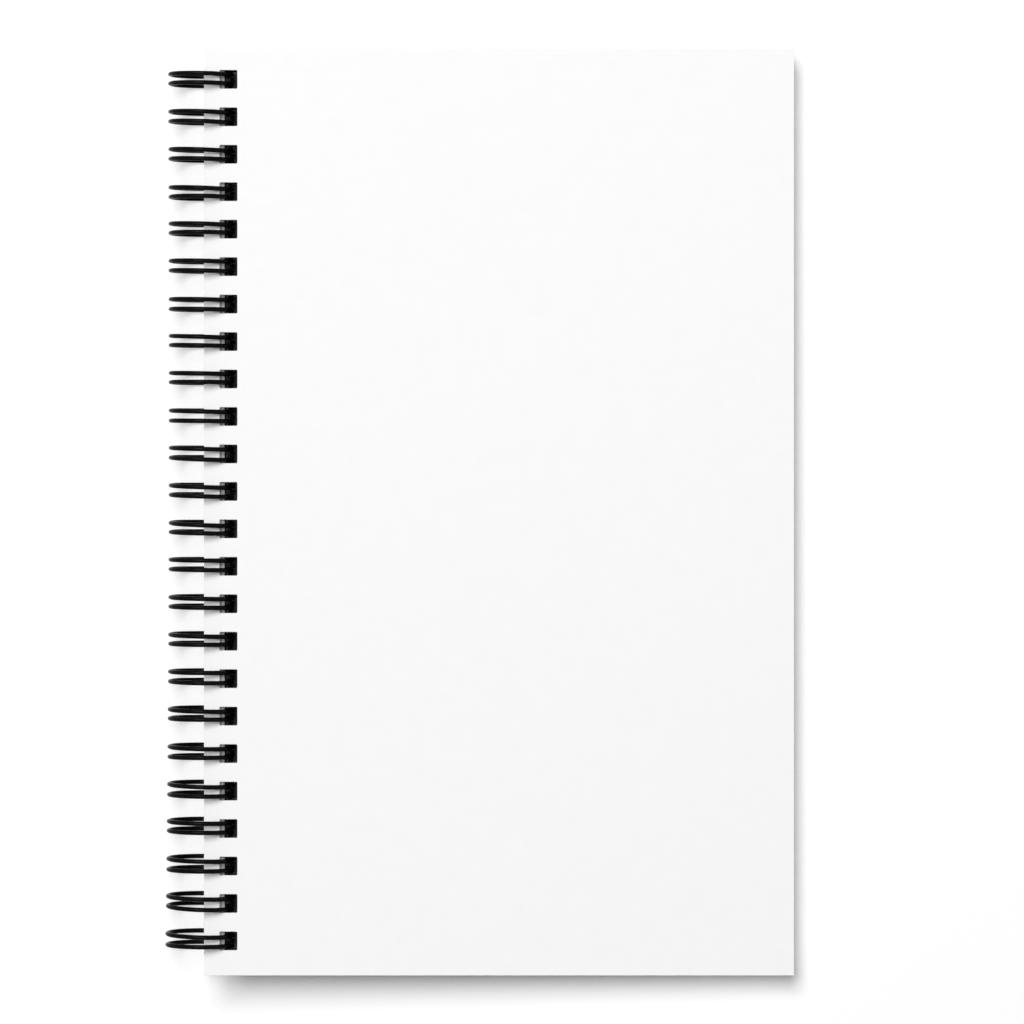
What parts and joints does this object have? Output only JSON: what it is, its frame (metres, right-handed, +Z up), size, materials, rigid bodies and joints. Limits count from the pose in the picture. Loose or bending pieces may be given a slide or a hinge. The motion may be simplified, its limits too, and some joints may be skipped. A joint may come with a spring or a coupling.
{
  "type": "spiral notebook",
  "caption": "Closed notebook with plain white card covers and a page block, bound along its left edge with black twin-loop wire; both covers open about the wire.",
  "frame": {"origin": "middle of the bounding box at the surface that the notebook lies on", "axes": "+X from the wire to the free edge, +Y from the foot to the head of the pages, +Z up; the front cover falls 2 degrees towards +X, as the loops hold the spine up"},
  "size_m": [0.1418, 0.2096, 0.0152],
  "materials": {
    "cover_card": "matte",
    "page_paper": "matte",
    "coated_wire": "satin"
  },
  "bodies": {
    "binding": {"page_block": "page_paper", "wire_binding": "coated_wire"},
    "front": {"front_cover": "cover_card"},
    "back": {"back_cover": "cover_card"}
  },
  "joints": [
    {"name": "front_cover_hinge", "type": "hinge", "parent": "binding", "child": "front", "pos_m": [-0.06329, 0, 0.0076], "axis": [0, -1, 0], "range_deg": [0, 183]},
    {"name": "back_cover_hinge", "type": "hinge", "parent": "binding", "child": "back", "pos_m": [-0.06329, 0, 0.0076], "axis": [0, 1, 0], "range_deg": [0, 183]}
  ]
}
